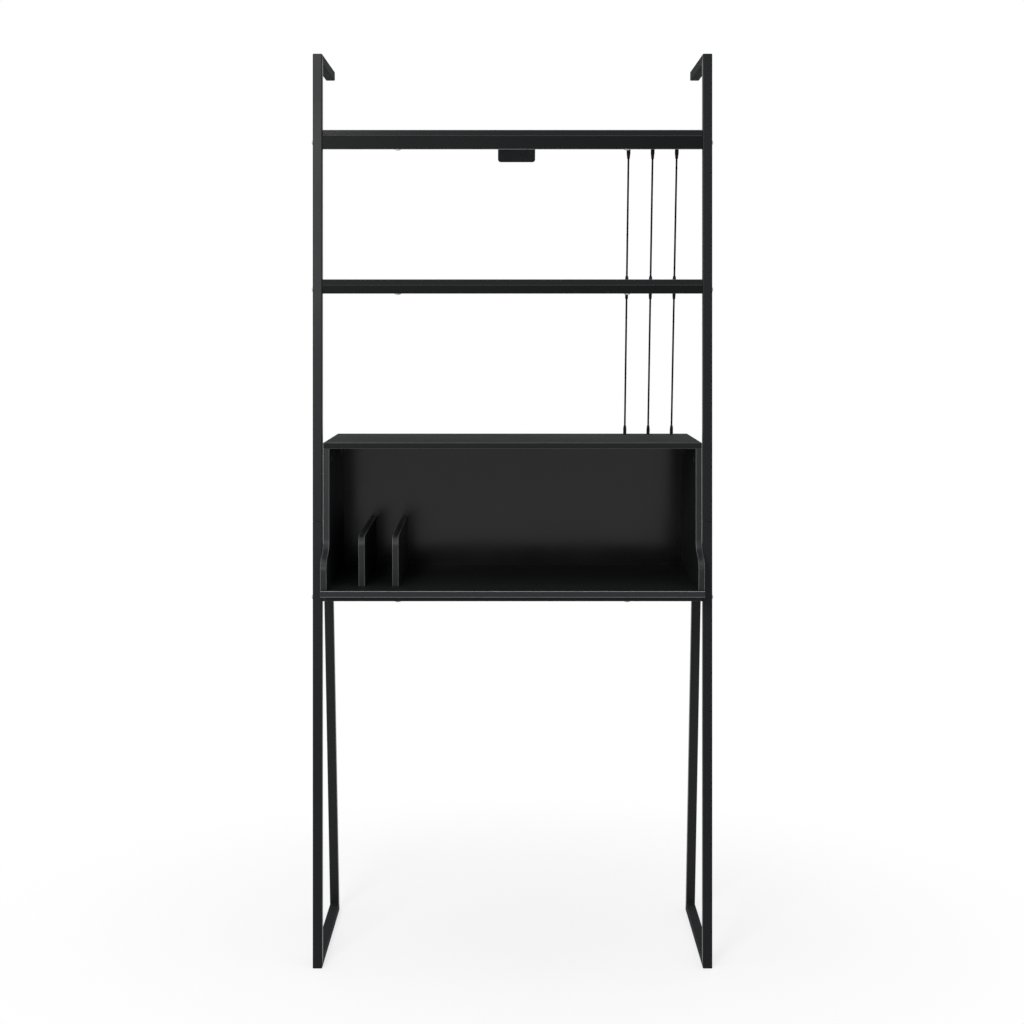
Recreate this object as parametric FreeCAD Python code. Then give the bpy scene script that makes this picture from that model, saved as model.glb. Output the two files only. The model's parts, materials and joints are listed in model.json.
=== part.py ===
import FreeCAD, Part
import math
import os

# Lengths are in millimetres and angles in degrees.
# X runs across the desk, Y from the sitter to the wall, Z up from the floor.
# The origin is on the floor, midway across and midway between the front and the wall.

# Overall size
overall_width = 790.0
overall_depth = 450.0
overall_height = 1800.0

# Side frames of square tube: the posts lean to the wall, the rear legs stand off it and lean away from it
tube = 19.0
tube_wall = 1.2
tube_corner = 2.0
post_lean_degrees = 5.34
rear_leg_lean_degrees = 6.0
rear_leg_wall_gap = 50.0
seam_rise = 130.0
seam_ease = 0.5
spigot_length = 80.0
spigot_wall = 1.5
spigot_clearance = 0.15
cap_head = 2.0
cap_plug = 14.0
cap_clearance = 0.15

# Boards and their heights, each to the upper face; the middle shelf's is a share of its bay
board = 12.0
board_round = 0.8
board_end_gap = 1.0
board_wall_gap = 8.0
desk_height = 750.0
hutch_rise = 284.0
middle_shelf_share = 0.5227
top_shelf_drop = 150.0
desk_front_gap = 10.0

# Hutch side panels: deep at the foot, drawn back behind the posts above an S-shaped edge
side_foot_front_gap = 20.0
side_foot_rise = 37.0
side_curve_rise = 56.0
side_curve_pull = 34.0
hutch_setback = 8.0

# File dividers, placed from the inner face of the left side panel
divider_slot = 58.0
divider_pitch = 67.0
divider_front_gap = 83.0
divider_front_rise = 100.0
divider_back_rise = 107.0
divider_nose = 20.0

# Crossbars under the boards, bolted through the posts into threaded plugs
crossbar = 16.0
top_crossbar_height = 25.0
crossbar_wall = 1.2
crossbar_corner = 1.5
rear_crossbar_gap = 10.0
plug_length = 24.0
plug_clearance = 0.1
bolt_shank = 6.0
bolt_grip = 16.0
bolt_hole_clearance = 0.3
bolt_head = 10.5
bolt_head_rise = 2.6
bolt_socket = 4.0
bolt_socket_depth = 1.5

# Pan-head screws up through the crossbars into the boards
bar_screw_end_gap = 149.0
bar_screw_head = 12.0
bar_screw_head_rise = 2.6
wood_screw = 4.0
wood_screw_bite = 8.5
wood_screw_point = 2.0
screw_hole_clearance = 0.2
small_head = 8.0
small_head_rise = 2.0
slot_width = 1.2
slot_depth = 0.9

# Straps that run back under the shelves from their crossbars
strap_end_gap = 226.0
strap_width = 25.0
strap_thick = 3.0
strap_share = 0.5
strap_screw_inset = 20.0

# Angle strips that carry the desk board, riveted to the side rails
angle_leg = 20.0
angle_thick = 2.0
angle_front_gap = 12.0
angle_back_gap = 1.0
angle_rivet_shares = (0.2, 0.8)
angle_screw_shares = (0.35, 0.65)
rivet = 4.8
rivet_head = 9.0
rivet_head_rise = 1.4
rivet_tail = 2.0

# Dowels, cam fittings and screws of the hutch
dowel = 6.0
dowel_low_bite = 8.0
dowel_high_bite = 18.0
cam = 12.0
cam_depth = 9.0
cam_drop = 24.0
cam_bolt = 5.0
cam_bolt_bite = 8.0
cam_slot_depth = 2.0
hutch_screw_bite = 28.0
panel_dowel_shares = (0.25, 0.75)
panel_screw_shares = (0.10, 0.92)
top_cam_shares = (0.14, 0.86)
top_dowel_shares = (0.35, 0.65)
back_screw_shares = (-0.7, 0.0, 0.7)
back_dowel_shares = (-0.4, 0.4)
divider_screw_shares = (0.25, 0.9)

# Elastic cords, stretched from the hutch top through the middle shelf to the top shelf
cord = 4.0
cord_end_gap = 37.0
cord_pitch = 49.6
cord_count = 3
cord_hutch_setback = 47.0
cord_shelf_setback = 137.0
cord_grip = 10.0
plug_stem = 6.0
plug_stem_bite = 9.0
low_plug = 7.2
low_plug_body = 12.0
low_plug_tip = 5.2
low_plug_rise = 20.0
high_plug = 8.0
high_plug_body = 22.0
high_plug_tip = 5.4
high_plug_drop = 32.0
grommet = 9.0
grommet_tip = 5.6
grommet_rise = 12.0
grommet_stem = 6.4
grommet_bore_clearance = 0.15
collar = 8.0
collar_tip = 5.6
collar_drop = 24.0
collar_bite = 5.0

# Plate at the back of the top shelf that meets the wall
plate_offset = 8.6
plate_width = 79.0
plate_drop = 27.5
plate_thick = 2.0
plate_reach = 25.0
plate_corner = 6.0
plate_bend = 3.0
plate_screw_offset = 22.0
plate_screw_inset = 11.0

# Cuts run past the faces that they leave by
overrun = 5.0
full_turn = 360
parallel = 1e-6

# Worked out from the sizes above
front_y = -overall_depth / 2
wall_y = overall_depth / 2
frame_x = (overall_width - tube) / 2
inner_x = overall_width / 2 - tube
board_x = inner_x - board_end_gap
panel_x = board_x - board / 2
back_y = wall_y - board_wall_gap
back_panel_y = back_y - board
hutch_height = desk_height + hutch_rise
top_shelf_height = overall_height - top_shelf_drop
middle_shelf_height = hutch_height + middle_shelf_share * (top_shelf_height - hutch_height)
desk_under = desk_height - board
hutch_under = hutch_height - board
middle_under = middle_shelf_height - board
top_under = top_shelf_height - board
sides = (("left", -1), ("right", 1))

X = FreeCAD.Vector(1, 0, 0)
Y = FreeCAD.Vector(0, 1, 0)
Z = FreeCAD.Vector(0, 0, 1)


def point(x, y, z):
    return FreeCAD.Vector(x, y, z)


# Lines in the side view: a place and a direction

def leaning_line(y, z, lean):
    """A line through y and z that leans to the wall by an angle from upright."""
    angle = math.radians(lean)
    return point(0, y, z), point(0, math.sin(angle), math.cos(angle))


def level_line(z):
    return point(0, 0, z), Y


def shifted(line, distance):
    """The line moved sideways: to the wall if it stands, downwards if it lies."""
    place, along = line
    return place + point(0, along.z, -along.y) * distance, along


def meet(line, other):
    """The point where two lines cross."""
    place, along = line
    other_place, other_along = other
    apart = other_place - place
    turn = along.y * other_along.z - along.z * other_along.y
    return place + along * ((apart.y * other_along.z - apart.z * other_along.y) / turn)


def through(start, finish):
    return start, (finish - start).normalize()


def y_at(line, z):
    return meet(line, level_line(z)).y


# Solids

def block(low, high):
    size = high - low
    return Part.makeBox(size.x, size.y, size.z, low)


def rod(diameter, start, finish):
    axis = finish - start
    return Part.makeCylinder(diameter / 2, axis.Length, start, axis)


def edges_along(solid, direction):
    """The straight edges that run in a direction."""
    straight = [edge for edge in solid.Edges if isinstance(edge.Curve, Part.Line)]
    return [edge for edge in straight if edge.Curve.Direction.cross(direction).Length < parallel]


def turned(profile, foot, axis):
    """A solid turned from radius and height pairs, stood on its foot along an axis."""
    corners = [point(radius, 0, height) for radius, height in profile]
    solid = Part.Face(Part.makePolygon(corners + corners[:1])).revolve(point(0, 0, 0), Z, full_turn)
    if solid.Volume < 0:
        solid.reverse()
    solid.Placement = FreeCAD.Placement(foot, FreeCAD.Rotation(Z, axis))
    return solid


def outline_prism(corners, thickness, x_mid):
    """A solid of a side-view outline, spread evenly about x_mid."""
    outline = Part.makePolygon(corners + corners[:1])
    solid = Part.Face(outline).extrude(X * thickness)
    solid.translate(X * (x_mid - thickness / 2))
    return solid


def bar(x_mid, width, faces, ends, extra=0):
    """A straight bar between two faces, cut at two ends, in the side view."""
    first, second = faces
    start, finish = ends
    back = first[1] * -extra
    forth = first[1] * extra
    corners = [
        meet(first, start) + back,
        meet(first, finish) + forth,
        meet(second, finish) + forth,
        meet(second, start) + back,
    ]
    return outline_prism(corners, width, x_mid)


def on_line(spot, line):
    """Whether a point lies on a line in the side view."""
    place, along = line
    apart = spot - place
    return abs(apart.y * along.z - apart.z * along.y) < parallel


def hollow_bar(x_mid, width, wall, corner, faces, ends):
    """A square tube with rounded corners and open ends."""
    first, second = faces
    outer = bar(x_mid, width, faces, ends)
    outer = outer.makeFillet(corner, edges_along(outer, first[1]))
    inner_faces = shifted(first, wall), shifted(second, -wall)
    return outer.cut(bar(x_mid, width - 2 * wall, inner_faces, ends, overrun))


def slab(x_low, x_high, y_low, y_high, z_top):
    """A level board with eased edges."""
    solid = block(point(x_low, y_low, z_top - board), point(x_high, y_high, z_top))
    return solid.makeFillet(board_round, solid.Edges)


def cut_all(solid, tools):
    return solid.cut(Part.makeCompound(tools)) if tools else solid


# Fasteners, each from the seat of its head along the way that it is driven

def screw(seat, axis, head, head_rise, length):
    """A pan-head wood screw with a point and a cross slot."""
    radius = head / 2
    shank = wood_screw / 2
    crown = radius - head_rise / 2
    profile = [
        (0, -head_rise),
        (crown, -head_rise),
        (radius, -head_rise / 2),
        (radius, 0),
        (shank, 0),
        (shank, length - wood_screw_point),
        (0, length),
    ]
    solid = turned(profile, seat, axis)
    for across, other in ((crown, slot_width / 2), (slot_width / 2, crown)):
        slot = block(point(-across, -other, -head_rise - overrun), point(across, other, slot_depth - head_rise))
        slot.Placement = solid.Placement
        solid = solid.cut(slot)
    return solid


def frame_bolt(seat, axis, length):
    """A button-head bolt with a hexagon socket."""
    radius = bolt_head / 2
    shank = bolt_shank / 2
    profile = [
        (0, -bolt_head_rise),
        (radius - bolt_head_rise, -bolt_head_rise),
        (radius - bolt_head_rise / 3, -bolt_head_rise / 2),
        (radius, 0),
        (shank, 0),
        (shank, length),
        (0, length),
    ]
    solid = turned(profile, seat, axis)
    reach = bolt_socket / math.sqrt(3)
    turns = [math.radians(step * full_turn / 6) for step in range(6)]
    corners = [point(reach * math.cos(turn), reach * math.sin(turn), -bolt_head_rise) for turn in turns]
    socket = Part.Face(Part.makePolygon(corners + corners[:1])).extrude(Z * bolt_socket_depth)
    socket.Placement = solid.Placement
    return solid.cut(socket)


def rivet_at(seat, axis):
    """A domed blind rivet."""
    radius = rivet_head / 2
    profile = [
        (0, -rivet_head_rise),
        (radius / 2, -rivet_head_rise),
        (radius, -rivet_head_rise / 3),
        (radius, 0),
        (rivet / 2, 0),
        (rivet / 2, angle_thick + tube_wall + rivet_tail),
        (0, angle_thick + tube_wall + rivet_tail),
    ]
    return turned(profile, seat, axis)


# Lines of the side frames

post_front = leaning_line(front_y, 0, post_lean_degrees)
post_back = shifted(post_front, tube)
leg_back = leaning_line(wall_y - rear_leg_wall_gap, 0, -rear_leg_lean_degrees)
leg_front = shifted(leg_back, -tube)
floor = level_line(0)
floor_rail_top = level_line(tube)
rail_top = level_line(desk_under)
rail_low = shifted(rail_top, tube)
arm_top = level_line(overall_height)
arm_low = shifted(arm_top, tube)
front_floor_mitre = through(meet(post_front, floor), meet(post_back, floor_rail_top))
back_floor_mitre = through(meet(leg_back, floor), meet(leg_front, floor_rail_top))
rail_mitre = through(meet(leg_back, rail_top), meet(leg_front, rail_low))
top_mitre = through(meet(post_front, arm_top), meet(post_back, arm_low))
seam_place = meet(post_front, level_line(desk_height + seam_rise))
seam = seam_place, point(0, post_front[1].z, -post_front[1].y)
arm_end = leaning_line(wall_y - cap_head, 0, 0)


def post_mid(z):
    return (y_at(post_front, z) + y_at(post_back, z)) / 2


def bar_z(under, height):
    return under - height / 2


def post_bar(name, under, height):
    """The row of a crossbar between the posts."""
    return name, under, post_mid(bar_z(under, height)), height


# The crossbars: name, underside of the board, the middle of the bar in Y and the bar's height
rear_bar_y = meet(leg_front, rail_low).y - rear_crossbar_gap
crossbars = (
    post_bar("desk_front_crossbar", desk_under, crossbar),
    ("desk_rear_crossbar", desk_under, rear_bar_y, crossbar),
    post_bar("middle_shelf_crossbar", middle_under, crossbar),
    post_bar("top_shelf_crossbar", top_under, top_crossbar_height),
)
shelf_bars = crossbars[2:]

bolt_length = tube + bolt_grip
bolts = []
bolt_holes = []
for name, under, y, height in crossbars:
    for side, sign in sides:
        seat = point(sign * overall_width / 2, y, bar_z(under, height))
        bolts.append(frame_bolt(seat, X * -sign, bolt_length))
        hole = bolt_shank + 2 * bolt_hole_clearance
        bolt_holes.append(rod(hole, seat + X * (sign * overrun), seat - X * (sign * (tube + overrun))))

# Angle strips, with the rivets and screws that hold them
angle_front = y_at(post_back, bar_z(desk_under, crossbar)) + angle_front_gap
angle_back = rear_bar_y - crossbar / 2 - angle_back_gap
angle_length = angle_back - angle_front
angles = {}
rivets = []
angle_screws = []
for side, sign in sides:
    x = sign * inner_x
    upright = block(
        point(min(x, x - sign * angle_thick), angle_front, desk_under - angle_leg),
        point(max(x, x - sign * angle_thick), angle_back, desk_under),
    )
    ledge = block(
        point(min(x, x - sign * angle_leg), angle_front, desk_under - angle_thick),
        point(max(x, x - sign * angle_leg), angle_back, desk_under),
    )
    angles[side] = upright.fuse(ledge).removeSplitter()
    for share in angle_rivet_shares:
        y = angle_front + share * angle_length
        seat = point(x - sign * angle_thick, y, desk_under - (angle_leg + angle_thick) / 2)
        rivets.append(rivet_at(seat, X * sign))
    for share in angle_screw_shares:
        y = angle_front + share * angle_length
        seat = point(x - sign * angle_leg / 2, y, desk_under - angle_thick)
        angle_screws.append(screw(seat, Z, small_head, small_head_rise, angle_thick + wood_screw_bite))
    angles[side] = cut_all(angles[side], rivets + angle_screws)


def ease_seam(solid):
    """The tube with the outer edge of its seam end eased, where it has one."""
    flat = [face for face in solid.Faces if all(on_line(corner.Point, seam) for corner in face.Vertexes)]
    rims = [edge for face in flat for edge in face.OuterWire.Edges]
    return solid.makeChamfer(seam_ease, rims) if rims else solid


def build_side_frame(sign):
    """The welded tubes of one side, its spigot and its end cap, by name."""
    x = sign * frame_x
    post = post_front, post_back
    arm = arm_top, arm_low
    tubes = {
        "front_leg": (post, (front_floor_mitre, seam)),
        "floor_rail": ((floor_rail_top, floor), (front_floor_mitre, back_floor_mitre)),
        "rear_leg": ((leg_front, leg_back), (back_floor_mitre, rail_mitre)),
        "side_rail": ((rail_top, rail_low), (post_back, rail_mitre)),
        "upper_post": (post, (seam, top_mitre)),
        "wall_arm": (arm, (top_mitre, arm_end)),
    }
    pieces = {}
    for name, (faces, ends) in tubes.items():
        made = hollow_bar(x, tube, tube_wall, tube_corner, faces, ends)
        pieces[name] = cut_all(ease_seam(made), bolt_holes + rivets)
    inset = tube_wall + spigot_clearance
    faces = shifted(post_front, inset), shifted(post_back, -inset)
    half = post_front[1] * (spigot_length / 2)
    ends = (seam[0] - half, seam[1]), (seam[0] + half, seam[1])
    pieces["post_spigot"] = hollow_bar(x, tube - 2 * inset, spigot_wall, spigot_wall, faces, ends)
    reach = tube / 2
    head = block(
        point(x - reach, wall_y - cap_head, overall_height - tube),
        point(x + reach, wall_y, overall_height),
    )
    head = head.makeFillet(tube_corner, edges_along(head, Y))
    inset = tube_wall + cap_clearance
    body = block(
        point(x - reach + inset, wall_y - cap_head - cap_plug, overall_height - tube + inset),
        point(x + reach - inset, wall_y - cap_head, overall_height - inset),
    )
    pieces["arm_end_cap"] = head.fuse(body).removeSplitter()
    return pieces


def build_crossbar(under, y, height):
    """A tube between the posts."""
    reach = crossbar / 2
    outer = block(point(-inner_x, y - reach, under - height), point(inner_x, y + reach, under))
    outer = outer.makeFillet(crossbar_corner, edges_along(outer, X))
    hollow = reach - crossbar_wall
    inner = block(
        point(-inner_x - overrun, y - hollow, under - height + crossbar_wall),
        point(inner_x + overrun, y + hollow, under - crossbar_wall),
    )
    return outer.cut(inner)


def build_bar_plugs():
    """The threaded plugs in the ends of the crossbars."""
    inset = crossbar_wall + plug_clearance
    reach = crossbar / 2 - inset
    plugs = []
    for name, under, y, height in crossbars:
        for side, sign in sides:
            ends = sorted((sign * inner_x, sign * (inner_x - plug_length)))
            low = point(ends[0], y - reach, under - height + inset)
            solid = block(low, point(ends[1], y + reach, under - inset))
            plugs.append(cut_all(solid, bolts))
    return plugs


def build_bar_screws():
    """The screws up through the crossbars, and the holes that they pass."""
    screws = []
    holes = []
    for name, under, y, height in crossbars:
        for side, sign in sides:
            seat = point(sign * (inner_x - bar_screw_end_gap), y, under - height)
            screws.append(screw(seat, Z, bar_screw_head, bar_screw_head_rise, height + wood_screw_bite))
            hole = wood_screw + 2 * screw_hole_clearance
            holes.append(rod(hole, seat, seat + Z * (height + overrun)))
    return screws, holes


def build_straps():
    """The straps under the two shelves, by name, and the screws that hold the boards to them."""
    straps = {}
    screws = []
    for name, under, y, height in shelf_bars:
        start = y + crossbar / 2
        finish = start + strap_share * (back_y - start)
        for side, sign in sides:
            x = sign * (inner_x - strap_end_gap)
            strap = block(
                point(x - strap_width / 2, start, under - strap_thick),
                point(x + strap_width / 2, finish, under),
            )
            seat = point(x, finish - strap_screw_inset, under - strap_thick)
            fixing = screw(seat, Z, small_head, small_head_rise, strap_thick + wood_screw_bite)
            screws.append(fixing)
            straps[name.replace("crossbar", side + "_strap")] = strap.cut(fixing)
    return straps, screws


# Elastic cords

def cord_line(x):
    """The foot of a cord on the hutch top, its head under the top shelf, and its direction."""
    foot = point(x, wall_y - cord_hutch_setback, hutch_height)
    head = point(x, wall_y - cord_shelf_setback, top_under)
    return foot, head, (head - foot).normalize()


def on_cord(x, z):
    foot, head, along = cord_line(x)
    return foot + (head - foot) * ((z - foot.z) / (head.z - foot.z))


def trim_slab(z_low):
    """All that lies level with a board."""
    return block(
        point(-overall_width, -overall_depth, z_low),
        point(overall_width, overall_depth, z_low + board),
    )


def tapered_plug(place, axis, z_low, body, length, tip):
    """The part of a plug outside its board: a round body that tapers to its tip."""
    diameter, reach = body
    profile = [
        (0, -board / 2),
        (diameter / 2, -board / 2),
        (diameter / 2, reach),
        (tip / 2, length),
        (0, length),
    ]
    return turned(profile, place, axis).cut(trim_slab(z_low))


def build_cord(x):
    """One cord, from its lower plug to its upper plug."""
    foot, head, along = cord_line(x)
    start = foot + along * (low_plug_rise - cord_grip)
    finish = head - along * (high_plug_drop - cord_grip)
    return rod(cord, start, finish)


def build_grommet_hole(x):
    """What the stem of a grommet takes out of the middle shelf."""
    foot, head, along = cord_line(x)
    start = on_cord(x, middle_under) - along * collar_bite
    return rod(grommet_stem, start, on_cord(x, middle_shelf_height) + along * collar_bite)


def build_cord_fittings(x):
    """The lower plug, the grommet and collar at the middle shelf, and the upper plug of one cord."""
    foot, head, along = cord_line(x)
    down = along * -1
    elastic = build_cord(x)
    low = tapered_plug(foot, along, hutch_under, (low_plug, low_plug_body), low_plug_rise, low_plug_tip)
    low_stem = rod(plug_stem, foot - along * plug_stem_bite, foot + along * plug_stem)
    high = tapered_plug(head, down, top_under, (high_plug, high_plug_body), high_plug_drop, high_plug_tip)
    high_stem = rod(plug_stem, head + along * plug_stem_bite, head - along * plug_stem)
    over = on_cord(x, middle_shelf_height)
    beneath = on_cord(x, middle_under)
    below = beneath - along * (collar_drop + overrun)
    above = over + along * (grommet_rise + overrun)
    bore = rod(cord + 2 * grommet_bore_clearance, below, above)
    upper = tapered_plug(over, along, middle_under, (grommet, 0), grommet_rise, grommet_tip)
    upper_stem = rod(grommet_stem, beneath - along * collar_bite, over + along * grommet_rise / 2)
    upper = upper.fuse(upper_stem).cut(bore).removeSplitter()
    lower = tapered_plug(beneath, down, middle_under, (collar, collar_bite), collar_drop, collar_tip)
    return {
        "hutch_cord_plugs": low.fuse(low_stem).cut(elastic).removeSplitter(),
        "middle_cord_grommets": upper,
        "middle_cord_collars": lower.cut(bore).cut(upper),
        "top_cord_plugs": high.fuse(high_stem).cut(elastic).removeSplitter(),
    }


# Hutch

side_foot_y = front_y + side_foot_front_gap
side_height = hutch_under - desk_height
top_front_y = y_at(post_front, hutch_under) + hutch_setback


def build_side_panel(sign):
    """A side panel with its S-shaped front edge."""
    x = sign * panel_x
    edge = shifted(post_front, hutch_setback)
    curve_z = desk_height + side_foot_rise
    low = point(0, side_foot_y, curve_z)
    high = meet(edge, level_line(curve_z + side_curve_rise))
    curve = Part.BezierCurve()
    curve.setPoles([low, low + Z * side_curve_pull, high - edge[1] * side_curve_pull, high])
    corners = [
        meet(edge, level_line(hutch_under)),
        point(0, back_y, hutch_under),
        point(0, back_y, desk_height),
        point(0, side_foot_y, desk_height),
    ]
    path = [high] + corners + [low]
    runs = [Part.LineSegment(a, b).toShape() for a, b in zip(path, path[1:])]
    outline = Part.Wire([curve.toShape()] + runs)
    solid = Part.Face(outline).extrude(X * board)
    solid.translate(X * (x - board / 2))
    return solid.makeFillet(board_round, solid.Edges)


def build_divider(x):
    """A file divider with a rounded nose and a top edge that rises to the back."""
    start = front_y + divider_front_gap
    corners = [
        point(0, start, desk_height),
        point(0, start, desk_height + divider_front_rise),
        point(0, back_panel_y, desk_height + divider_back_rise),
        point(0, back_panel_y, desk_height),
    ]
    solid = outline_prism(corners, board, x)
    nose_z = desk_height + divider_front_rise
    nose = [
        edge for edge in edges_along(solid, X)
        if abs(edge.CenterOfMass.y - start) < board_round and abs(edge.CenterOfMass.z - nose_z) < board_round
    ]
    solid = solid.makeFillet(divider_nose, nose)
    return solid.makeFillet(board_round, solid.Edges)


def dowel_between(x, y, z):
    """An upright dowel across the joint at z."""
    return rod(dowel, point(x, y, z - dowel_low_bite), point(x, y, z + dowel_high_bite))


def hanging_dowel(x, y, z):
    """An upright dowel across a joint whose thin board is on top."""
    return rod(dowel, point(x, y, z - dowel_high_bite), point(x, y, z + dowel_low_bite))


divider_first_x = -board_x + board + divider_slot + board / 2
divider_places = (("outer", divider_first_x), ("inner", divider_first_x + divider_pitch))
panel_depth = back_y - side_foot_y
top_depth = back_y - top_front_y
divider_depth = back_panel_y - front_y - divider_front_gap
back_panel_x = board_x - board
back_mid_y = back_panel_y + board / 2

dowels = []
hutch_screws = []
cam_bolts = []
cam_locks = []
cam_holes = []


def screw_from_below(x, y):
    seat = point(x, y, desk_under)
    return screw(seat, Z, small_head, small_head_rise, board + hutch_screw_bite)


for side, sign in sides:
    x = sign * panel_x
    for share in panel_dowel_shares:
        dowels.append(dowel_between(x, side_foot_y + share * panel_depth, desk_height))
    for share in panel_screw_shares:
        hutch_screws.append(screw_from_below(x, side_foot_y + share * panel_depth))
    for share in top_dowel_shares:
        dowels.append(hanging_dowel(x, top_front_y + share * top_depth, hutch_under))
    for share in top_cam_shares:
        y = top_front_y + share * top_depth
        inner_face = sign * back_panel_x
        middle = point(inner_face, y, hutch_under - cam_drop)
        pin = rod(cam_bolt, middle + X * (sign * board / 2), point(x, y, hutch_under + cam_bolt_bite))
        lock = rod(cam, middle, middle + X * (sign * cam_depth))
        groove = block(
            middle - point(cam_slot_depth, cam / 3, slot_width / 2),
            middle + point(cam_slot_depth, cam / 3, slot_width / 2),
        )
        cam_holes.append(lock)
        cam_locks.append(lock.cut(groove))
        cam_bolts.append(pin.cut(lock))
for share in back_screw_shares:
    hutch_screws.append(screw_from_below(share * back_panel_x, back_mid_y))
for share in back_dowel_shares:
    dowels.append(hanging_dowel(share * back_panel_x, back_mid_y, hutch_under))
for name, x in divider_places:
    for share in divider_screw_shares:
        hutch_screws.append(screw_from_below(x, front_y + divider_front_gap + share * divider_depth))


def build_wall_plate():
    """The bent plate at the back of the top shelf, and its screws."""
    low = top_under - plate_drop
    inner_y = wall_y - plate_thick
    corners = [
        point(0, back_y - plate_reach, top_under),
        point(0, wall_y, top_under),
        point(0, wall_y, low),
        point(0, inner_y, low),
        point(0, inner_y, top_under - plate_thick),
        point(0, back_y - plate_reach, top_under - plate_thick),
    ]
    solid = outline_prism(corners, plate_width, plate_offset)
    bend = [
        edge for edge in edges_along(solid, X)
        if edge.CenterOfMass.y > inner_y and edge.CenterOfMass.z > top_under - plate_thick
    ]
    solid = solid.makeFillet(plate_bend, bend)
    ends = [edge for edge in edges_along(solid, Y) if edge.CenterOfMass.z < low + plate_thick]
    solid = solid.makeFillet(plate_corner, ends)
    screws = []
    for side, sign in sides:
        seat = point(
            plate_offset + sign * plate_screw_offset,
            back_y - plate_reach + plate_screw_inset,
            top_under - plate_thick,
        )
        screws.append(screw(seat, Z, small_head, small_head_rise, plate_thick + wood_screw_bite))
    return cut_all(solid, screws), screws


# All pieces by name

pieces = {}
for side, sign in sides:
    for name, solid in build_side_frame(sign).items():
        pieces[side + "_" + name] = solid
    pieces[side + "_desk_angle"] = angles[side]

bar_screws, bar_holes = build_bar_screws()
for name, under, y, height in crossbars:
    pieces[name] = cut_all(build_crossbar(under, y, height), bar_holes)
pieces["crossbar_plugs"] = Part.makeCompound(build_bar_plugs())
pieces["frame_bolts"] = Part.makeCompound(bolts)
pieces["crossbar_screws"] = Part.makeCompound(bar_screws)

straps, strap_screws = build_straps()
pieces.update(straps)
pieces["strap_screws"] = Part.makeCompound(strap_screws)
pieces["angle_rivets"] = Part.makeCompound(rivets)
pieces["angle_screws"] = Part.makeCompound(angle_screws)

cord_places = [board_x - cord_end_gap - step * cord_pitch for step in reversed(range(cord_count))]
fittings = [build_cord_fittings(x) for x in cord_places]
cord_names = ("inner", "middle", "outer")
for name, x in zip(cord_names, cord_places):
    pieces[name + "_elastic_cord"] = build_cord(x)
for name in fittings[0]:
    pieces[name] = Part.makeCompound([fitting[name] for fitting in fittings])

pieces["wall_plate"], plate_screws = build_wall_plate()
pieces["wall_plate_screws"] = Part.makeCompound(plate_screws)

pieces["hutch_dowels"] = Part.makeCompound(dowels)
pieces["hutch_screws"] = Part.makeCompound(hutch_screws)
pieces["cam_bolts"] = Part.makeCompound(cam_bolts)
pieces["cam_locks"] = Part.makeCompound(cam_locks)

hutch_holes = dowels + hutch_screws + cam_bolts + cam_holes
low_holes = [fitting["hutch_cord_plugs"] for fitting in fittings]
middle_holes = [build_grommet_hole(x) for x in cord_places]
top_holes = [fitting["top_cord_plugs"] for fitting in fittings]

for side, sign in sides:
    pieces[side + "_hutch_side"] = cut_all(build_side_panel(sign), hutch_holes)
for name, x in divider_places:
    pieces[name + "_file_divider"] = cut_all(build_divider(x), hutch_screws)
back_panel = block(
    point(-back_panel_x, back_panel_y, desk_height),
    point(back_panel_x, back_y, hutch_under),
)
pieces["hutch_back_panel"] = cut_all(back_panel, hutch_holes)
hutch_top = slab(-board_x, board_x, top_front_y, back_y, hutch_height)
pieces["hutch_top_panel"] = cut_all(hutch_top, hutch_holes + low_holes)
desk = slab(-board_x, board_x, front_y + desk_front_gap, back_y, desk_height)
pieces["desk_board"] = cut_all(desk, hutch_holes + bar_screws + angle_screws)
middle_shelf = slab(-board_x, board_x, y_at(post_front, middle_under), back_y, middle_shelf_height)
pieces["middle_shelf_board"] = cut_all(middle_shelf, bar_screws + strap_screws + middle_holes)
top_shelf = slab(-board_x, board_x, y_at(post_front, top_under), back_y, top_shelf_height)
pieces["top_shelf_board"] = cut_all(top_shelf, bar_screws + strap_screws + top_holes + plate_screws)

os.makedirs("parts", exist_ok=True)
for name, solid in pieces.items():
    solid.exportStep("parts/" + name + ".step")
print(len(pieces), "pieces")
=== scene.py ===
"""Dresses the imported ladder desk: coated frame, melamine boards, braided elastic cords and their fixings."""

import json
import logging
import math
from dataclasses import dataclass
from enum import Enum
from typing import Any, Iterable, Sequence

import bmesh
import bpy
from mathutils import Matrix, Vector

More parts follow.
